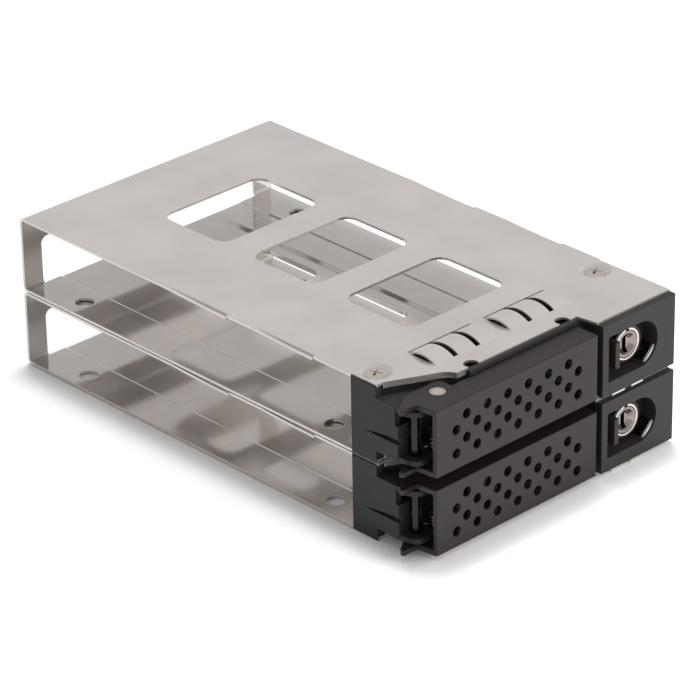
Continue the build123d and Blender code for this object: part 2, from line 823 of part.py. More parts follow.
# Release slide: thumb tab, guided plate, arm to the leaf and tongue to the lock cam
with BuildPart() as release_slide:
    with BuildSketch(Plane.XZ.offset(-fit_gap)):
        with Locations((thumb_x + thumb_width / 2, mid_z)):
            Rectangle(thumb_width, thumb_height)
    extrude(amount=-(slide_plate_rear - fit_gap))
    with BuildSketch(Plane.XZ.offset(-slide_plate_front)):
        with Locations(((slide_plate_left + slide_plate_right) / 2, mid_z)):
            Rectangle(slide_plate_right - slide_plate_left, slide_plate_height)
    extrude(amount=-slide_thick)
    with BuildSketch(Plane.XY.offset(arm_low)):
        with BuildLine():
            Polyline(
                (leaf_right + fit_gap, slide_plate_front),
                (rail_left - move_gap, slide_plate_front),
                (rail_left - move_gap, slide_plate_rear),
                (catch_left, slide_plate_rear),
                (catch_left, catch_end),
                (leaf_right + fit_gap, catch_end),
                close=True,
            )
        make_face()
    extrude(amount=arm_height)
    with BuildSketch(Plane.XY.offset(tongue_low)):
        with BuildLine():
            Polyline(
                (thumb_x, slide_plate_front),
                (thumb_x + thumb_width, slide_plate_front),
                (thumb_x + thumb_width, tongue_front),
                (lock_x - stud_radius - move_gap, tongue_front),
                (lock_x - stud_radius - move_gap, tongue_front + tongue_thick),
                (thumb_x, tongue_front + tongue_thick),
                close=True,
            )
        make_face()
    extrude(amount=tongue_bar_height)
    with BuildSketch(Plane.XZ.offset(-tongue_front)):
        with Locations(((tooth_left + lock_x - stud_radius - move_gap) / 2, mid_z + tongue_low / 2 - mid_z / 2)):
            Rectangle(lock_x - stud_radius - move_gap - tooth_left, tongue_low - mid_z + 2 * dog_radius)
    extrude(amount=-tongue_thick)

# Spring leaf that hooks the barb and returns the slide
with BuildPart() as catch_leaf:
    with BuildSketch(Plane.YZ.offset(leaf_left)):
        with Locations(((leaf_front + leaf_rear) / 2, (arm_low + leaf_top) / 2)):
            Rectangle(leaf_rear - leaf_front, leaf_top - arm_low)
        with Locations((leaf_screw_y, mid_z)):
            Circle(leaf_screw_radius + seat_gap, mode=Mode.SUBTRACT)
    extrude(amount=leaf_thick)
    with BuildSketch(Plane.XZ.offset(-leaf_front)):
        with Locations((leaf_left + (leaf_thick + leaf_hook_lap + move_gap) / 2, mid_z)):
            Rectangle(leaf_thick + leaf_hook_lap + move_gap, catch_height)
    extrude(amount=-leaf_thick)

# Screw that clamps the leaf to its boss
with BuildPart() as leaf_screw:
    with BuildSketch(Plane.YZ.offset(leaf_right)):
        with Locations((leaf_screw_y, mid_z)):
            Circle(leaf_screw_head)
    extrude(amount=leaf_screw_head * 0.6)
    with BuildSketch(Plane.YZ.offset(leaf_right)):
        with Locations((leaf_screw_y, mid_z)):
            Circle(leaf_screw_radius)
    extrude(amount=-(leaf_screw_length - leaf_thick))

# Lock barrel: black collar in the recess, body through its floor
with BuildPart() as lock_barrel:
    with BuildSketch(Plane.XZ.offset(-lock_face)):
        with Locations((lock_x, mid_z)):
            Circle(collar_radius)
    extrude(amount=-(recess_depth - lock_face))
    with BuildSketch(Plane.XZ.offset(-lock_face)):
        with Locations((lock_x, mid_z)):
            Circle(barrel_radius)
    extrude(amount=-(barrel_end - lock_face))
    with BuildSketch(Plane.XZ.offset(-recess_back)):
        with Locations((lock_x, mid_z)):
            Circle(barrel_radius)
            Circle(barrel_radius - clip_groove, mode=Mode.SUBTRACT)
    extrude(amount=-(clip_thick + 2 * seat_gap), mode=Mode.SUBTRACT)
    ring_end = lock_face + ring_depth - ring_proud
    with BuildSketch(Plane.XZ.offset(-lock_face)):
        with Locations((lock_x, mid_z)):
            Circle(ring_radius + seat_gap)
    extrude(amount=-(ring_end - lock_face), mode=Mode.SUBTRACT)
    with BuildSketch(Plane.XZ.offset(-ring_end)):
        with Locations((lock_x, mid_z)):
            Circle(plug_head_radius + running_gap)
    extrude(amount=-(plug_head_depth + 2 * running_gap), mode=Mode.SUBTRACT)
    with BuildSketch(Plane.XZ.offset(-ring_end)):
        with Locations((lock_x, mid_z)):
            Circle(plug_body_radius + running_gap)
    extrude(amount=-(barrel_end - ring_end), mode=Mode.SUBTRACT)

# Bright ring in the front of the barrel, notched at the top
with BuildPart() as lock_ring:
    with BuildSketch(Plane.XZ.offset(-lock_face + ring_proud)):
        with Locations((lock_x, mid_z)):
            Circle(ring_radius)
            Circle(ring_radius - ring_width, mode=Mode.SUBTRACT)
        with Locations((lock_x, mid_z + ring_radius)):
            Rectangle(ring_notch, 4 * ring_width, mode=Mode.SUBTRACT)
    extrude(amount=-ring_depth)

# Plug that the key turns
with BuildPart() as lock_plug:
    with BuildSketch(Plane.XZ.offset(-lock_face)):
        with Locations((lock_x, mid_z)):
            Circle(plug_radius)
    extrude(amount=-(ring_end + sheet - lock_face))
    with BuildSketch(Plane.XZ.offset(-lock_face)):
        with Locations((lock_x, mid_z)):
            Circle(plug_body_radius)
    extrude(amount=-(barrel_end - lock_face))
    with BuildSketch(Plane.XZ.offset(-ring_end - running_gap)):
        with Locations((lock_x, mid_z)):
            Circle(plug_head_radius)
    extrude(amount=-plug_head_depth)
    with BuildSketch(Plane.XZ.offset(-lock_face)):
        with Locations((lock_x, mid_z)):
            Circle(stud_radius)
    extrude(amount=-(stud_end - lock_face))
    with BuildSketch(Plane.XZ.offset(-lock_face)):
        with Locations((lock_x, mid_z)):
            Circle(spigot_radius)
    extrude(amount=-(stud_end + cam_thick - lock_face))
    with BuildSketch(Plane.XZ.offset(-lock_face)):
        with Locations((lock_x, mid_z)):
            Circle(plug_dish_radius)
    extrude(amount=-plug_dish_depth, taper=plug_dish_slope, mode=Mode.SUBTRACT)
    with BuildSketch(Plane.XZ.offset(-lock_face)):
        with Locations((lock_x, mid_z)):
            Rectangle(key_slot_width, key_slot_height)
    extrude(amount=-key_slot_depth, mode=Mode.SUBTRACT)
    with BuildSketch(Plane.XZ.offset(-stud_end - cam_thick)):
        with Locations((lock_x, mid_z)):
            Circle(cam_screw_shank + seat_gap)
    extrude(amount=cam_screw_length, mode=Mode.SUBTRACT)

# Cam on the rear of the plug, hanging down when unlocked
with BuildPart() as lock_cam:
    with BuildSketch(Plane.XZ.offset(-stud_end)):
        with Locations((lock_x, mid_z)):
            Circle(cam_hub_radius)
        with Locations((lock_x, mid_z - cam_reach / 2)):
            Rectangle(cam_arm_width, cam_reach)
        with Locations((lock_x, mid_z - cam_reach)):
            Circle(dog_radius)
        with Locations((lock_x, mid_z)):
            Circle(spigot_radius + seat_gap, mode=Mode.SUBTRACT)
    extrude(amount=-cam_thick)
    with BuildSketch(Plane.XZ.offset(-stud_end)):
        with Locations((lock_x, mid_z - cam_reach)):
            Circle(dog_radius)
    extrude(amount=stud_end - tongue_front - fit_gap)

# Screw that holds the cam on the plug
with BuildPart() as cam_screw:
    with BuildSketch(Plane.XZ.offset(-stud_end - cam_thick)):
        with Locations((lock_x, mid_z)):
            Circle(cam_screw_radius)
    extrude(amount=-cam_screw_head)
    with BuildSketch(Plane.XZ.offset(-stud_end - cam_thick)):
        with Locations((lock_x, mid_z)):
            Circle(cam_screw_shank)
    extrude(amount=cam_screw_length - fit_gap)
    with BuildSketch(Plane.XZ.offset(-stud_end - cam_thick - cam_screw_head)):
        with Locations((lock_x, mid_z)):
            Rectangle(cam_screw_radius, cross_width)
            Rectangle(cross_width, cam_screw_radius)
    extrude(amount=cross_depth, mode=Mode.SUBTRACT)

# Open ring that holds the barrel behind the recess floor
with BuildPart() as barrel_clip:
    with BuildSketch(Plane.XZ.offset(-recess_back - seat_gap)):
        with Locations((lock_x, mid_z)):
            Circle(clip_radius)
            Circle(barrel_radius - clip_groove + seat_gap, mode=Mode.SUBTRACT)
        with Locations((lock_x + clip_radius / 2, mid_z)):
            Rectangle(clip_radius, clip_mouth, mode=Mode.SUBTRACT)
    extrude(amount=-clip_thick)

# Status light: lens at the edge of the recess and the light pipe behind it
lens_reach = (recess_radius**2 - (lens_chord / 2) ** 2) ** 0.5
with BuildPart() as status_lens:
    with BuildSketch(Plane.XZ.offset(-lens_front)):
        with Locations((recess_centre_x, mid_z)):
            Circle(recess_radius - seat_gap)
        with Locations(Location((recess_centre_x, mid_z, 0), (0, 0, -45))):
            with Locations((lens_reach - recess_radius, 0)):
                Rectangle(2 * recess_radius, 2 * recess_radius, mode=Mode.SUBTRACT)
    extrude(amount=-(recess_depth - lens_front))
    with BuildSketch(Plane.XZ.offset(-recess_depth + lens_front)):
        with Locations((recess_centre_x + pipe_reach, mid_z - pipe_reach)):
            Circle(light_pipe_radius)
    extrude(amount=-(light_pipe_end - recess_depth + lens_front))


def build_plate_screws(face, sign):
    """Pair of cross recess screws in the dimples of one plate, heads at face and shanks along sign."""
    head_under = face + sign * dimple_depth
    with BuildPart() as screws:
        with BuildSketch(Plane.XY.offset(head_under)):
            with Locations(*plate_screw_places()):
                Circle(screw_head_radius)
        extrude(amount=-sign * screw_head_height)
        head_faces = screws.faces().sort_by(Axis.Z)
        outer = head_faces[-2:] if sign < 0 else head_faces[:2]
        chamfer(outer.edges(), length=screw_edge)
        with BuildSketch(Plane.XY.offset(head_under)):
            with Locations(*plate_screw_places()):
                Circle(screw_radius)
        extrude(amount=sign * (screw_length + sheet - 2 * fit_gap))
        with BuildSketch(Plane.XY.offset(head_under - sign * screw_head_height)):
            with Locations(*plate_screw_places()):
                Rectangle(cross_length, cross_width, rotation=20)
                Rectangle(cross_width, cross_length, rotation=20)
        extrude(amount=sign * cross_depth, mode=Mode.SUBTRACT)
    return screws.part


# Both trays: the lower one carries the upper one, which presses its spring fingers flat
pieces = {
    "latch_frame": latch_frame.part,
    "lever": lever.part,
    "hinge_pin": hinge_pin.part,
    "spring_post": spring_post.part,
    "lever_spring": lever_spring.part,
    "release_slide": release_slide.part,
    "catch_leaf": catch_leaf.part,
    "leaf_screw": leaf_screw.part,
    "lock_barrel": lock_barrel.part,
    "lock_ring": lock_ring.part,
    "lock_plug": lock_plug.part,
    "lock_cam": lock_cam.part,
    "cam_screw": cam_screw.part,
    "barrel_clip": barrel_clip.part,
    "status_lens": status_lens.part,
    "roof_screws": build_plate_screws(roof_top, -1),
    "floor_screws": build_plate_screws(floor_low, 1),
}
os.makedirs("parts", exist_ok=True)
for tray, base, top_rise in (("lower", 0, finger_pressed_rise), ("upper", stack_pitch, finger_free_rise)):
    place = Location((-shift_x, -shift_y, base))
    tray_pieces = {"shell": build_shell(top_rise, finger_pressed_rise), **pieces}
    for name, part in tray_pieces.items():
        piece = part.moved(place)
        piece.label = f"{tray}_{name}"
        export_step(piece, f"parts/{tray}_{name}.step")
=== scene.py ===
"""Looks of two stacked hot swap drive trays: finishes, small turned parts, floor, lights and camera.

The frame is in metres: +X to the right seen from the front, +Y to the rear connectors, +Z up.
"""

from math import cos, pi, radians, sin

import bmesh
import bpy
import numpy as np
from bpy.props import FloatProperty, FloatVectorProperty, IntProperty, PointerProperty
from mathutils import Matrix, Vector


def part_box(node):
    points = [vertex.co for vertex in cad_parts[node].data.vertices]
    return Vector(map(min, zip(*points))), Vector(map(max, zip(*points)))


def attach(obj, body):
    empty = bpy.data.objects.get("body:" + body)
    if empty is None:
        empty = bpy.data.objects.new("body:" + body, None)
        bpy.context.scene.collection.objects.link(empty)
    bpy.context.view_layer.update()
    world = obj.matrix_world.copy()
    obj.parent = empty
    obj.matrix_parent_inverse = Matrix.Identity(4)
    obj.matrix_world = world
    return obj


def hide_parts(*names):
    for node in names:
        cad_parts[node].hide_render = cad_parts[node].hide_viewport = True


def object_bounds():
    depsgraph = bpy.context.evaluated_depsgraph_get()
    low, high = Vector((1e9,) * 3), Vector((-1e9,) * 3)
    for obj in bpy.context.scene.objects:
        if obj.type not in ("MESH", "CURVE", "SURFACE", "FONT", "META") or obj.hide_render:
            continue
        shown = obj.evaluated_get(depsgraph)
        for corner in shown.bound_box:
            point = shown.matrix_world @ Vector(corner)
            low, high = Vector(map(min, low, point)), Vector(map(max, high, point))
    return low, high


bl_info = {
    "name": "Hot Swap Drive Trays",
    "version": (1, 0, 0),
    "blender": (4, 5, 0),
    "location": "View3D > Sidebar > Drive Trays",
    "description": "Dresses two stacked drive trays and sets their studio",
    "category": "Object",
}

MM = 0.001
TRAYS = ("lower", "upper")
WELD = 0.0001 * MM
SHARP_DEGREES = 30
SENSOR_WIDTH = 36
PAPER_REFLECTANCE = 0.8
WHITE = (1, 1, 1, 1)
# Nearly all values of a noise lie between these two
NOISE_LOW, NOISE_HIGH = 0.3, 0.7
# The roughness of a plated metal goes this many times up and down
MARK_SPREAD = 1.25

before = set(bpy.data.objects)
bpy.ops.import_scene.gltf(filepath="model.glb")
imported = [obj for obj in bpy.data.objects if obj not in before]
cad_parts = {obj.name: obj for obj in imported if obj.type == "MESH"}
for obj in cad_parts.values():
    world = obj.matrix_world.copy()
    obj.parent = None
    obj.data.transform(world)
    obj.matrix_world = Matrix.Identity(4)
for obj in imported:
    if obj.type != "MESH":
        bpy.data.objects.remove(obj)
CAD_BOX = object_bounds()


def linear_rgb(hex_colour):
    """Linear red, green and blue of an sRGB hex colour."""
    values = np.array([int(hex_colour[i:i + 2], 16) for i in (1, 3, 5)]) / 255
    return tuple(np.where(values <= 0.04045, values / 12.92, ((values + 0.055) / 1.055) ** 2.4))


def colour(name, description, hex_colour):
    """A colour property with its default given as an sRGB hex value."""
    return FloatVectorProperty(name=name, description=description, subtype="COLOR", size=3, min=0, max=1,
                               default=linear_rgb(hex_colour))


def length(name, description, millimetres):
    """A length property in metres with its default given in millimetres."""
    return FloatProperty(name=name, description=description, unit="LENGTH", precision=5, min=0,
                         default=millimetres * MM)


def degrees(name, description, value):
    """An angle property with its default given in degrees."""
    return FloatProperty(name=name, description=description, subtype="ANGLE", default=radians(value))


def watts(name, description, value):
    """The power of a lamp."""
    return FloatProperty(name=name, description=description, subtype="POWER", default=value, min=0)


def number(name, description, value, least=0):
    """A plain number property."""
    return FloatProperty(name=name, description=description, default=value, min=least)


def count(name, description, value, least):
    """A whole number property."""
    return IntProperty(name=name, description=description, default=value, min=least)


def point(name, description, metres):
    """A property for a point of the frame."""
    return FloatVectorProperty(name=name, description=description, subtype="XYZ", unit="LENGTH",
                               default=metres)


class TrayFinishSettings(bpy.types.PropertyGroup):
    """Colours of the surfaces and the sizes of their grain."""
    steel: colour("Steel", "Zinc plated steel sheet of the shells", "#D4CFCB")
    moulding: colour("Moulding", "Black glass filled nylon of the latch frame and the thumb tab", "#2F2D2E")
    paint: colour("Paint", "Black powder coat of the lever", "#211B19")
    oxide: colour("Oxide", "Black oxide of the hinge pin and the lock barrel", "#0E0D0E")
    nickel: colour("Nickel", "Nickel plate of the screws and the spring post", "#DAD2C8")
    chrome: colour("Chrome", "Chrome plate of the lock ring", "#D8D0CB")
    plug: colour("Plug", "Nickel plated zinc of the lock plug", "#9A8F8A")
    spring: colour("Spring", "Drawn spring wire and strip", "#B9B4AE")
    # The lens colour and the band depth below make a pale band at the lens front: a painted highlight of the
    # lit recess rim
    lens: colour("Lens", "Clear acrylic of the status light", "#EFE9E6")
    frosted_highlight: length("Frosted", "Depth of the frosted face of the status light", 0.6)
    grain_width: length("Grain width", "Spacing of the fine rolling lines in the sheet", 0.16)
    grain_length: length("Grain length", "Length of the rolling lines", 9.0)
    blotch: length("Blotch", "Size of the soft clouds in the zinc", 16.0)
    moulding_grit: length("Moulding grit", "Size of the spark eroded grain of the mould", 0.25)
    paint_grit: length("Paint grit", "Size of the orange peel in the powder coat", 0.5)
    sheet_edge: length("Sheet edge", "Rounding of the cut edges of the sheet", 0.2)
    moulding_edge: length("Moulding edge", "Rounding of the moulded corners", 0.22)
    lever_edge: length("Lever edge", "Rounding of the lever's bends under the coat", 0.35)


class TrayScrewSettings(bpy.types.PropertyGroup):
    """Heads, cross recesses and shanks of the plate screws."""
    head_radius: length("Head radius", "Radius of the head", 2.3)
    seat_depth: length("Seat depth", "From the top of the screw's solid down to the seat of its head", 0.75)
    rim_height: length("Rim height", "Height of the head's rim over its seat", 0.3)
    dome: length("Dome", "Height of the crown over the rim", 0.3)
    cross_width: length("Cross width", "Width of the recess arms", 0.55)
    cross_length: length("Cross length", "Tip to tip length of the recess", 2.7)
    cross_depth: length("Cross depth", "Depth of the recess at its middle", 0.7)
    turn: degrees("Turn", "How far the recess is turned", 24)
    shank_radius: length("Shank radius", "Radius of the shank", 1.5)
    tip_radius: length("Tip radius", "Radius of the shank's end face", 1.05)
    tip_taper: length("Tip taper", "Length of the taper at the shank's end", 0.4)
    rings: count("Rings", "Rings of faces from the middle to the rim", 30, 6)
    spokes: count("Spokes", "Faces round the head", 96, 12)
    shank_spokes: count("Shank spokes", "Faces round the shank", 32, 12)


class TrayLockSettings(bpy.types.PropertyGroup):
    """Bright ring of the key lock."""
    ring_width: length("Ring width", "Width of the ring's face", 0.75)
    ring_squareness: number("Ring squareness", "Exponent of the ring's superellipse section", 3.2, 2)
    notch: length("Notch", "Gap in the ring at its top", 0.6)
    spokes: count("Spokes", "Sections along the ring", 120, 24)
    section_points: count("Section points", "Points round the ring's section", 28, 8)


class TrayStageSettings(bpy.types.PropertyGroup):
    """Camera, lights and floor."""
    camera_place: point("Camera place", "Where the camera stands", (-0.48918, -0.52363, 0.38427))
    azimuth: degrees("Azimuth", "Turn of the view; 0 looks along +Y", -43.238)
    elevation: degrees("Elevation", "Height of the view over the horizon", 27.405)
    roll: degrees("Roll", "Lean of the camera", -1.05)
    focal: number("Focal length", "Focal length on a 36 mm wide sensor, in millimetres", 198.75, 1)
    floor_side: length("Floor side", "Side of the square floor", 6000)
    over_place: point("Over place", "Where the soft box over the trays stands", (0.16, 0.17, 1.4))
    over_side: length("Over side", "Side of the soft box over the trays", 300)
    over_power: watts("Over power", "Power of the soft box over the trays", 12)
    over_tint: colour("Over tint", "Colour of the soft box over the trays", "#FBFCFF")
    front_place: point("Front place", "Where the soft box in front stands", (0.9, -1.2, 0.55))
    front_width: length("Front width", "Width of the soft box in front", 2200)
    front_height: length("Front height", "Height of the soft box in front", 1000)
    front_power: watts("Front power", "Power of the soft box in front", 30)
    front_tint: colour("Front tint", "Colour of the soft box in front", "#FFFAF6")
    sky: number("Sky", "Strength of the plain light from all round", 0.46)
    mirrored: number("Mirrored", "Strength of the white room as shiny surfaces show it", 0.65)
    lift: number("Lift", "Glow that takes the floor to white where it is seen", 0.02)


class DriveTraySettings(bpy.types.PropertyGroup):
    """All settings of the trays."""
    finish: PointerProperty(type=TrayFinishSettings)
    screw: PointerProperty(type=TrayScrewSettings)
    lock: PointerProperty(type=TrayLockSettings)
    stage: PointerProperty(type=TrayStageSettings)


# Surfaces

def ring_grid_faces(rows, columns):
    """Quads of a grid of rows by columns points, whose columns join round."""
    i, j = np.meshgrid(np.arange(rows - 1), np.arange(columns), indexing="ij")
    j2 = (j + 1) % columns
    return np.stack([i * columns + j, (i + 1) * columns + j, (i + 1) * columns + j2, i * columns + j2],
                    -1).reshape(-1, 4)


def solid_from(name, parts, material, body, node):
    """A closed piece from (points, faces) parts, welded and facing outwards, in place of a CAD node."""
    points, faces, start = [], [], 0
    for part_points, part_faces in parts:
        flat = np.asarray(part_points, float).reshape(-1, 3)
        points.append(flat)
        faces.append(part_faces + start)
        start += len(flat)
    mesh = bpy.data.meshes.new(name)
    mesh.from_pydata(np.concatenate(points).tolist(), [], np.concatenate(faces).tolist())
    edit = bmesh.new()
    edit.from_mesh(mesh)
    bmesh.ops.remove_doubles(edit, verts=edit.verts, dist=WELD)
    bmesh.ops.dissolve_degenerate(edit, dist=WELD / 10, edges=edit.edges)
    bmesh.ops.recalc_face_normals(edit, faces=edit.faces)
    edit.to_mesh(mesh)
    edit.free()
    mesh.shade_smooth()
    mesh.set_sharp_from_angle(angle=radians(SHARP_DEGREES))
    piece = bpy.data.objects.new(name, mesh)
    bpy.context.scene.collection.objects.link(piece)
    mesh.materials.append(material)
    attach(piece, body)
    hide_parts(node)


def lathe(profile, centre, axis, spokes):
    """Surface of revolution: each (radius, height) point of the profile is carried once round the axis."""
    radius, height = np.asarray(profile, float).T
    angle = np.linspace(0, 2 * pi, spokes, endpoint=False)
    across = np.array([1, 0, 0])
    up = np.array(axis, float)
    side = np.cross(up, across)
    ring = np.cos(angle)[:, None] * across + np.sin(angle)[:, None] * side
    points = radius[:, None, None] * ring[None] + (height[:, None] * up)[:, None]
    return points + np.asarray(centre, float), ring_grid_faces(len(radius), spokes)


# Materials

def add_node(tree, kind, links=None, settings=None, **values):
    """Adds a node with its feeding sockets, its settings and its sockets' own values."""
    node = tree.nodes.new(kind)
    for key, value in (settings or {}).items():
        setattr(node, key, value)
    for key, value in values.items():
        node.inputs[key.replace("_", " ")].default_value = value
    for key, source in (links or {}).items():
        tree.links.new(source, node.inputs[key])
    return node


def start_material(name):
    """An empty material and its node tree."""
    material = bpy.data.materials.new(name)
    material.use_nodes = True
    material.node_tree.nodes.clear()
    return material, material.node_tree


def rgba(value, shade=1.0):
    """Four numbers of a colour, made lighter or darker by shade."""
    return tuple(min(1.0, channel * shade) for channel in value) + (1.0,)


def grit(tree, size, detail=2.0):
    """Even noise in Object coordinates whose bumps have the given size in metres."""
    place = add_node(tree, "ShaderNodeTexCoord")
    return add_node(tree, "ShaderNodeTexNoise", {"Vector": place.outputs["Object"]},
                    Scale=1 / size, Detail=detail, Roughness=0.55).outputs["Fac"]


def rolled_lines(tree, width, reach):
    """Noise drawn out along the strip: across it by X, and along it by Y and Z, as the sheet is wrapped."""
    place = add_node(tree, "ShaderNodeTexCoord")
    axes = add_node(tree, "ShaderNodeSeparateXYZ", {"Vector": place.outputs["Object"]})
    along = add_node(tree, "ShaderNodeMath", {0: axes.outputs["Y"], 1: axes.outputs["Z"]},
                     {"operation": "ADD"})
    strip = add_node(tree, "ShaderNodeCombineXYZ", {"X": axes.outputs["X"], "Y": along.outputs["Value"]})
    scaled = add_node(tree, "ShaderNodeMapping", {"Vector": strip.outputs["Vector"]},
                      Scale=(1 / width, 1 / reach, 1))
    return add_node(tree, "ShaderNodeTexNoise", {"Vector": scaled.outputs["Vector"]},
                    Scale=1.0, Detail=3.0, Roughness=0.6).outputs["Fac"]


def rounded_relief(tree, height, edge_radius, depth, strength):
    """Normals of corners rounded to a real radius, with a relief of a real depth on them."""
    corner = add_node(tree, "ShaderNodeBevel", settings={"samples": 8}, Radius=edge_radius)
    return add_node(tree, "ShaderNodeBump", {"Height": height, "Normal": corner.outputs["Normal"]},
                    Distance=depth, Strength=strength).outputs["Normal"]


def zinc_plated_sheet(finish):
    """Cold rolled steel sheet with bright zinc plate: pale, warm, with soft mirror images and rolling lines.

    The clear film on the zinc scatters a part of the light, so the sheet is a little less than a full metal.
    """
    material, tree = start_material("Zinc plated sheet")
    lines = rolled_lines(tree, finish.grain_width, finish.grain_length)
    clouds = grit(tree, finish.blotch)
    # The lines are drawn a little wider than real ones, which would not show at this distance
    rough = add_node(tree, "ShaderNodeMapRange", {"Value": lines},
                     From_Min=NOISE_LOW, From_Max=NOISE_HIGH, To_Min=0.07, To_Max=0.11)
    tint = add_node(tree, "ShaderNodeValToRGB", {"Fac": clouds})
    tint.color_ramp.elements[0].position = 0.35
    tint.color_ramp.elements[1].position = 0.65
    tint.color_ramp.elements[0].color = rgba(finish.steel, 0.95)
    tint.color_ramp.elements[1].color = rgba(finish.steel, 1.03)
    streak = add_node(tree, "ShaderNodeMapRange", {"Value": lines},
                      From_Min=NOISE_LOW, From_Max=NOISE_HIGH, To_Min=0.95, To_Max=1.02)
    base = add_node(tree, "ShaderNodeVectorMath",
                    {0: tint.outputs["Color"], "Scale": streak.outputs["Result"]}, {"operation": "SCALE"})
    normal = rounded_relief(tree, lines, finish.sheet_edge, depth=0.001 * MM, strength=0.1)
    shader = add_node(tree, "ShaderNodeBsdfPrincipled",
                      {"Base Color": base.outputs["Vector"], "Roughness": rough.outputs["Result"],
                       "Normal": normal}, Metallic=0.7)
    add_node(tree, "ShaderNodeOutputMaterial", {"Surface": shader.outputs["BSDF"]})
    return material


def satin_black(name, base, edge_radius, grain_size, depth, low, high, ior):
    """A dark coat or moulding with a grain of a real size and depth, along which its roughness varies."""
    material, tree = start_material(name)
    grain = grit(tree, grain_size)
    rough = add_node(tree, "ShaderNodeMapRange", {"Value": grain},
                     From_Min=NOISE_LOW, From_Max=NOISE_HIGH, To_Min=low, To_Max=high)
    normal = rounded_relief(tree, grain, edge_radius, depth, strength=0.35)
    shader = add_node(tree, "ShaderNodeBsdfPrincipled",
                      {"Roughness": rough.outputs["Result"], "Normal": normal}, IOR=ior)
    shader.inputs["Base Color"].default_value = rgba(base)
    add_node(tree, "ShaderNodeOutputMaterial", {"Surface": shader.outputs["BSDF"]})
    return material


def black_nylon(finish):
    """Glass filled nylon from a spark eroded mould: near black and dull, with an even fine pebble."""
    return satin_black("Black nylon moulding", finish.moulding, finish.moulding_edge, finish.moulding_grit,
                       depth=0.01 * MM, low=0.42, high=0.55, ior=1.33)


def black_powder_coat(finish):
    """Satin powder coat on steel: warm black with a shallow orange peel and a soft wide highlight."""
    return satin_black("Black powder coat", finish.paint, finish.lever_edge, finish.paint_grit,
                       depth=0.008 * MM, low=0.36, high=0.46, ior=1.42)


def black_oxide(finish):
    """Oiled black oxide on steel: very dark, smooth and a little glossy."""
    return satin_black("Black oxide", finish.oxide, finish.sheet_edge, 0.4 * MM,
                       depth=0.003 * MM, low=0.12, high=0.2, ior=1.42)


def plated_metal(name, base, edge_radius, roughness, mark):
    """Turned, drawn or plated metal: one colour, with fine tool marks that show as changes of gloss."""
    material, tree = start_material(name)
    marks = grit(tree, mark, 3.0)
    rough = add_node(tree, "ShaderNodeMapRange", {"Value": marks},
                     From_Min=NOISE_LOW, From_Max=NOISE_HIGH,
                     To_Min=roughness / MARK_SPREAD, To_Max=roughness * MARK_SPREAD)
    normal = rounded_relief(tree, marks, edge_radius, depth=0.003 * MM, strength=0.3)
    shader = add_node(tree, "ShaderNodeBsdfPrincipled",
                      {"Roughness": rough.outputs["Result"], "Normal": normal}, Metallic=1.0)
    shader.inputs["Base Color"].default_value = rgba(base)
    add_node(tree, "ShaderNodeOutputMaterial", {"Surface": shader.outputs["BSDF"]})
    return material


def acrylic_with_painted_highlight(finish, front):
    """Moulded acrylic light pipe: matt white next to its front and clear behind; that white band is a painted
    highlight of the lit rim of the recess.

    Over the last part of the band's depth it turns from white to clear.
    """
    clearing_start = 0.7
    material, tree = start_material("Clear acrylic")
    normal = rounded_relief(tree, grit(tree, 0.15 * MM), finish.sheet_edge, depth=0.002 * MM, strength=0.2)
    place = add_node(tree, "ShaderNodeTexCoord")
    axes = add_node(tree, "ShaderNodeSeparateXYZ", {"Vector": place.outputs["Object"]})
    # Little transmission at the front leaves a pale band there: a painted highlight of the recess rim
    clear = add_node(tree, "ShaderNodeMapRange", {"Value": axes.outputs["Y"]},
                     From_Min=front + finish.frosted_highlight * clearing_start, From_Max=front + finish.frosted_highlight,
                     To_Min=0.1, To_Max=1.0)
    shader = add_node(tree, "ShaderNodeBsdfPrincipled",
                      {"Normal": normal, "Transmission Weight": clear.outputs["Result"]},
                      Roughness=0.08, IOR=1.49)
    shader.inputs["Base Color"].default_value = rgba(finish.lens)
    add_node(tree, "ShaderNodeOutputMaterial", {"Surface": shader.outputs["BSDF"]})
    return material


def dress(nodes, material):
    """Gives the same nodes of both trays a material."""
    for tray in TRAYS:
        for node in nodes:
            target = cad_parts[f"{tray}_{node}"]
            for material_slot in target.material_slots:
                material_slot.material = material


# Pieces

class TRAY_OT_shells(bpy.types.Operator):
    """Finish the sheet steel shells"""
    bl_idname = "drive_tray.shells"
    bl_label = "Shells"

    def execute(self, context):
        dress(["shell"], zinc_plated_sheet(context.scene.drive_tray.finish))
        return {"FINISHED"}


class TRAY_OT_mouldings(bpy.types.Operator):
    """Finish the latch frames and the release slides"""
    bl_idname = "drive_tray.mouldings"
    bl_label = "Mouldings"

    def execute(self, context):
        dress(["latch_frame", "release_slide"], black_nylon(context.scene.drive_tray.finish))
        return {"FINISHED"}


class TRAY_OT_levers(bpy.types.Operator):
    """Finish the levers, their hinge pins, posts and springs"""
    bl_idname = "drive_tray.levers"
    bl_label = "Levers"

    def execute(self, context):
        finish = context.scene.drive_tray.finish
        dress(["lever"], black_powder_coat(finish))
        dress(["hinge_pin"], black_oxide(finish))
        dress(["spring_post"],
              plated_metal("Turned nickel steel", finish.nickel, finish.sheet_edge,
                           roughness=0.22, mark=0.3 * MM))
        dress(["lever_spring", "catch_leaf"],
              plated_metal("Drawn spring steel", finish.spring, finish.sheet_edge,
                           roughness=0.26, mark=0.2 * MM))
        return {"FINISHED"}


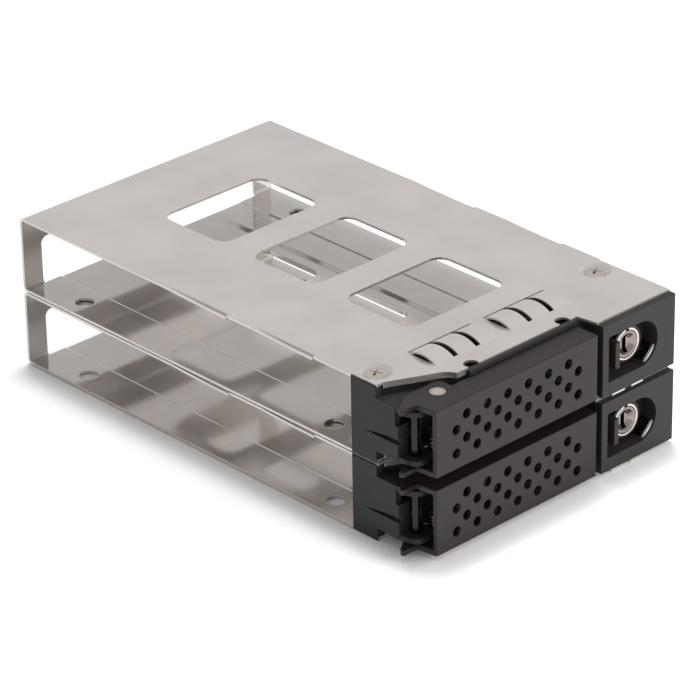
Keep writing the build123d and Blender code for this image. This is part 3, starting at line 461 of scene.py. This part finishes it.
def screw_head(centre, up, screw):
    """Domed head on a polar grid: the crown falls with the square of the radius and rolls off at the rim.

    Two crossed arms are cut into it. An arm's depth grows evenly from its walls inwards, and with the
    square root of the distance from its tip.
    """
    radius = screw.head_radius
    # Shares of the radius, the crown, an arm's width and its length
    roll_start, roll_drop, wall_slope, tip_slope = 0.86, 0.6, 0.16, 0.3
    reach = np.linspace(0, 1, screw.rings)
    angle = np.linspace(0, 2 * pi, screw.spokes, endpoint=False)
    share, turn = np.meshgrid(reach, angle, indexing="ij")
    x, y = share * radius * np.cos(turn), share * radius * np.sin(turn)
    roll_off = roll_drop * np.clip((share - roll_start) / (1 - roll_start), 0, 1) ** 2
    dome = screw.rim_height + screw.dome * (1 - share ** 2 - roll_off)
    along = x * cos(screw.turn) + y * sin(screw.turn)
    across = -x * sin(screw.turn) + y * cos(screw.turn)
    cut = np.zeros_like(x)
    width, arm = screw.cross_width, screw.cross_length
    for reach_along, reach_across in ((along, across), (across, along)):
        wall = np.clip((width / 2 - np.abs(reach_across)) / (wall_slope * width), 0, 1)
        tip = np.clip((arm / 2 - np.abs(reach_along)) / (tip_slope * arm), 0, 1)
        cut = np.maximum(cut, wall * np.sqrt(tip))
    face = np.stack([x, y, dome - screw.cross_depth * cut], -1)
    seat = np.stack([radius * np.cos(angle), radius * np.sin(angle), np.zeros_like(angle)], -1)
    # The underside closes through an inner ring and the middle point
    points = np.concatenate([face, seat[None], seat[None] * 0.3, seat[None] * 0], 0)
    return points * np.array([1, 1, up]) + np.asarray(centre), ring_grid_faces(len(points), screw.spokes)


class TRAY_OT_screws(bpy.types.Operator):
    """Make the domed cross recess screws of both plates"""
    bl_idname = "drive_tray.screws"
    bl_label = "Plate screws"

    def execute(self, context):
        finish, screw = context.scene.drive_tray.finish, context.scene.drive_tray.screw
        material = plated_metal("Nickel plated screw", finish.nickel, finish.sheet_edge,
                                roughness=0.2, mark=0.25 * MM)
        for tray in TRAYS:
            for plate, up in (("roof", 1), ("floor", -1)):
                node = f"{tray}_{plate}_screws"
                low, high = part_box(node)
                face, tip = (high.z, low.z) if up > 0 else (low.z, high.z)
                seat = face - up * screw.seat_depth
                shank = abs(seat - tip)
                profile = [(0, 0), (screw.shank_radius, 0), (screw.shank_radius, shank - screw.tip_taper),
                           (screw.tip_radius, shank), (0, shank)]
                parts = []
                for x in (low.x + screw.head_radius, high.x - screw.head_radius):
                    centre = (x, (low.y + high.y) / 2, seat)
                    parts.append(screw_head(centre, up, screw))
                    parts.append(lathe(profile, centre, (0, 0, -up), screw.shank_spokes))
                solid_from(f"{tray}_{plate}_screw_pair", parts, material, f"{tray}_tray", node)
        return {"FINISHED"}


def split_ring(low, high, lock):
    """Ring whose section is a superellipse, carried round a circle that stays open at its top."""
    outer, depth = (high.x - low.x) / 2, (high.y - low.y) / 2
    half = lock.ring_width / 2
    middle = outer - half
    gap = lock.notch / 2 / middle
    turn = np.linspace(pi / 2 + gap, pi * 2.5 - gap, lock.spokes)
    section = np.linspace(0, 2 * pi, lock.section_points, endpoint=False)
    power = 2 / lock.ring_squareness
    # The two ends close in a small rounded cap, whose edge is a little smaller than the section
    cap_edge = 0.85
    swell = np.ones(lock.spokes)
    swell[[0, -1]], swell[[1, -2]] = 0.0, cap_edge
    across = half * np.sign(np.cos(section)) * np.abs(np.cos(section)) ** power
    along = depth * np.sign(np.sin(section)) * np.abs(np.sin(section)) ** power
    radius = middle + swell[:, None] * across
    points = np.stack([
        (low.x + high.x) / 2 + radius * np.cos(turn)[:, None],
        (low.y + high.y) / 2 + swell[:, None] * along,
        low.z + outer + radius * np.sin(turn)[:, None]], -1)
    return points, ring_grid_faces(lock.spokes, len(section))


class TRAY_OT_locks(bpy.types.Operator):
    """Finish the key locks and turn their bright rings"""
    bl_idname = "drive_tray.locks"
    bl_label = "Locks"

    def execute(self, context):
        settings = context.scene.drive_tray
        finish = settings.finish
        chrome = plated_metal("Chrome plate", finish.chrome, finish.sheet_edge, roughness=0.1, mark=0.3 * MM)
        dress(["lock_barrel"], black_oxide(finish))
        dress(["lock_plug"],
              plated_metal("Nickel plated zinc", finish.plug, finish.sheet_edge,
                           roughness=0.22, mark=0.3 * MM))
        dress(["lock_cam", "cam_screw", "barrel_clip", "leaf_screw"],
              plated_metal("Zinc plated small parts", finish.spring, finish.sheet_edge,
                           roughness=0.3, mark=0.3 * MM))
        for tray in TRAYS:
            node = f"{tray}_lock_ring"
            ring = split_ring(*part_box(node), settings.lock)
            solid_from(f"{tray}_bright_ring", [ring], chrome, f"{tray}_tray", node)
        return {"FINISHED"}


class TRAY_OT_lenses(bpy.types.Operator):
    """Finish the status light lenses"""
    bl_idname = "drive_tray.lenses"
    bl_label = "Lenses"

    def execute(self, context):
        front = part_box("lower_status_lens")[0].y
        dress(["status_lens"], acrylic_with_painted_highlight(context.scene.drive_tray.finish, front))
        return {"FINISHED"}


# Stage

def soft_box(name, place, target, width, height, power, tint):
    """A rectangular area light that shines from place at target, and that no surface mirrors."""
    light = bpy.data.lights.new(name, "AREA")
    light.shape = "RECTANGLE"
    light.size, light.size_y = width, height
    light.energy = power
    light.color = tint
    back = np.asarray(place, float) - np.asarray(target, float)
    back /= np.linalg.norm(back)
    right = np.cross([0, 0, 1], back)
    right /= np.linalg.norm(right)
    lamp = bpy.data.objects.new(name, light)
    lamp.visible_glossy = False
    matrix = Matrix(np.stack([right, np.cross(back, right), back], 1).tolist()).to_4x4()
    matrix.translation = place
    lamp.matrix_world = matrix
    bpy.context.scene.collection.objects.link(lamp)


def seen_directly(tree):
    """1 for camera, glossy and transmission rays, which see the white background, and 0 for the rest."""
    ray = add_node(tree, "ShaderNodeLightPath")
    one = add_node(tree, "ShaderNodeMath", {0: ray.outputs["Is Camera Ray"], 1: ray.outputs["Is Glossy Ray"]},
                   {"operation": "MAXIMUM"})
    both = add_node(tree, "ShaderNodeMath", {0: one.outputs[0], 1: ray.outputs["Is Transmission Ray"]},
                    {"operation": "MAXIMUM"})
    return both.outputs[0]


def paper_floor(lift):
    """White paper: diffuse, and lifted to white where it is seen, so that only the shadow is grey."""
    material, tree = start_material("White paper floor")
    paper = add_node(tree, "ShaderNodeBsdfDiffuse", Color=rgba((PAPER_REFLECTANCE,) * 3))
    seen_paper = add_node(tree, "ShaderNodeBsdfDiffuse", Color=WHITE)
    glow = add_node(tree, "ShaderNodeEmission", Color=WHITE, Strength=lift)
    lifted = add_node(tree, "ShaderNodeAddShader",
                      {0: seen_paper.outputs["BSDF"], 1: glow.outputs["Emission"]})
    mix = add_node(tree, "ShaderNodeMixShader",
                   {"Fac": seen_directly(tree), 1: paper.outputs["BSDF"], 2: lifted.outputs["Shader"]})
    add_node(tree, "ShaderNodeOutputMaterial", {"Surface": mix.outputs["Shader"]})
    return material


def white_room(sky, mirrored):
    """Plain light from all round: white where seen, dimmer in reflections, and dimmer still as light."""
    world = bpy.data.worlds.new("White room")
    bpy.context.scene.world = world
    world.use_nodes = True
    tree = world.node_tree
    tree.nodes.clear()
    ray = add_node(tree, "ShaderNodeLightPath")
    light = add_node(tree, "ShaderNodeMapRange", {"Value": seen_directly(tree)}, To_Min=sky, To_Max=1.0)
    strength = add_node(tree, "ShaderNodeMix",
                        {"Factor": ray.outputs["Is Glossy Ray"], "A": light.outputs["Result"]}, B=mirrored)
    plain = add_node(tree, "ShaderNodeBackground", {"Strength": strength.outputs[0]}, Color=WHITE)
    add_node(tree, "ShaderNodeOutputWorld", {"Surface": plain.outputs["Background"]})


class TRAY_OT_stage(bpy.types.Operator):
    """Set the floor, the lights and the camera"""
    bl_idname = "drive_tray.stage"
    bl_label = "Stage"

    def execute(self, context):
        scene = context.scene
        stage = scene.drive_tray.stage
        half, level = stage.floor_side / 2, CAD_BOX[0].z
        mesh = bpy.data.meshes.new("floor")
        corners = [(-half, -half, level), (half, -half, level), (half, half, level), (-half, half, level)]
        mesh.from_pydata(corners, [], [(0, 1, 2, 3)])
        mesh.materials.append(paper_floor(stage.lift))
        floor = bpy.data.objects.new("floor", mesh)
        scene.collection.objects.link(floor)
        white_room(stage.sky, stage.mirrored)
        centre = ((CAD_BOX[0] + CAD_BOX[1]) / 2)[:]
        soft_box("over", stage.over_place, centre, stage.over_side, stage.over_side, stage.over_power,
                 stage.over_tint)
        soft_box("front", stage.front_place, centre, stage.front_width, stage.front_height, stage.front_power,
                 stage.front_tint)
        a, e, r = stage.azimuth, stage.elevation, stage.roll
        back = np.array([sin(a) * cos(e), -cos(a) * cos(e), sin(e)])
        level_right = np.array([cos(a), sin(a), 0])
        level_up = np.cross(back, level_right)
        right = level_right * cos(r) + level_up * sin(r)
        up = level_up * cos(r) - level_right * sin(r)
        data = bpy.data.cameras.new("camera")
        data.lens = stage.focal
        data.sensor_width = SENSOR_WIDTH
        data.clip_start, data.clip_end = 0.01, 50
        camera = bpy.data.objects.new("camera", data)
        matrix = Matrix(np.stack([right, up, back], 1).tolist()).to_4x4()
        matrix.translation = stage.camera_place
        camera.matrix_world = matrix
        scene.collection.objects.link(camera)
        scene.camera = camera
        scene.view_settings.view_transform = "Standard"
        return {"FINISHED"}


OPERATORS = (TRAY_OT_shells, TRAY_OT_mouldings, TRAY_OT_levers, TRAY_OT_screws, TRAY_OT_locks, TRAY_OT_lenses,
             TRAY_OT_stage)


class TRAY_PT_panel(bpy.types.Panel):
    """Drive tray tools"""
    bl_label = "Drive Trays"
    bl_idname = "TRAY_PT_panel"
    bl_space_type = "VIEW_3D"
    bl_region_type = "UI"
    bl_category = "Drive Trays"

    def draw(self, context):
        for operator in OPERATORS:
            self.layout.operator(operator.bl_idname)


CLASSES = (TrayFinishSettings, TrayScrewSettings, TrayLockSettings, TrayStageSettings,
           DriveTraySettings) + OPERATORS + (TRAY_PT_panel,)


def register():
    for cls in CLASSES:
        bpy.utils.register_class(cls)
    bpy.types.Scene.drive_tray = PointerProperty(type=DriveTraySettings)


def unregister():
    del bpy.types.Scene.drive_tray
    for cls in reversed(CLASSES):
        bpy.utils.unregister_class(cls)


def main():
    """Registers the add-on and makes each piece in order."""
    register()
    for operator in OPERATORS:
        category, name = operator.bl_idname.split(".")
        getattr(getattr(bpy.ops, category), name)()


if __name__ == "__main__":
    main()
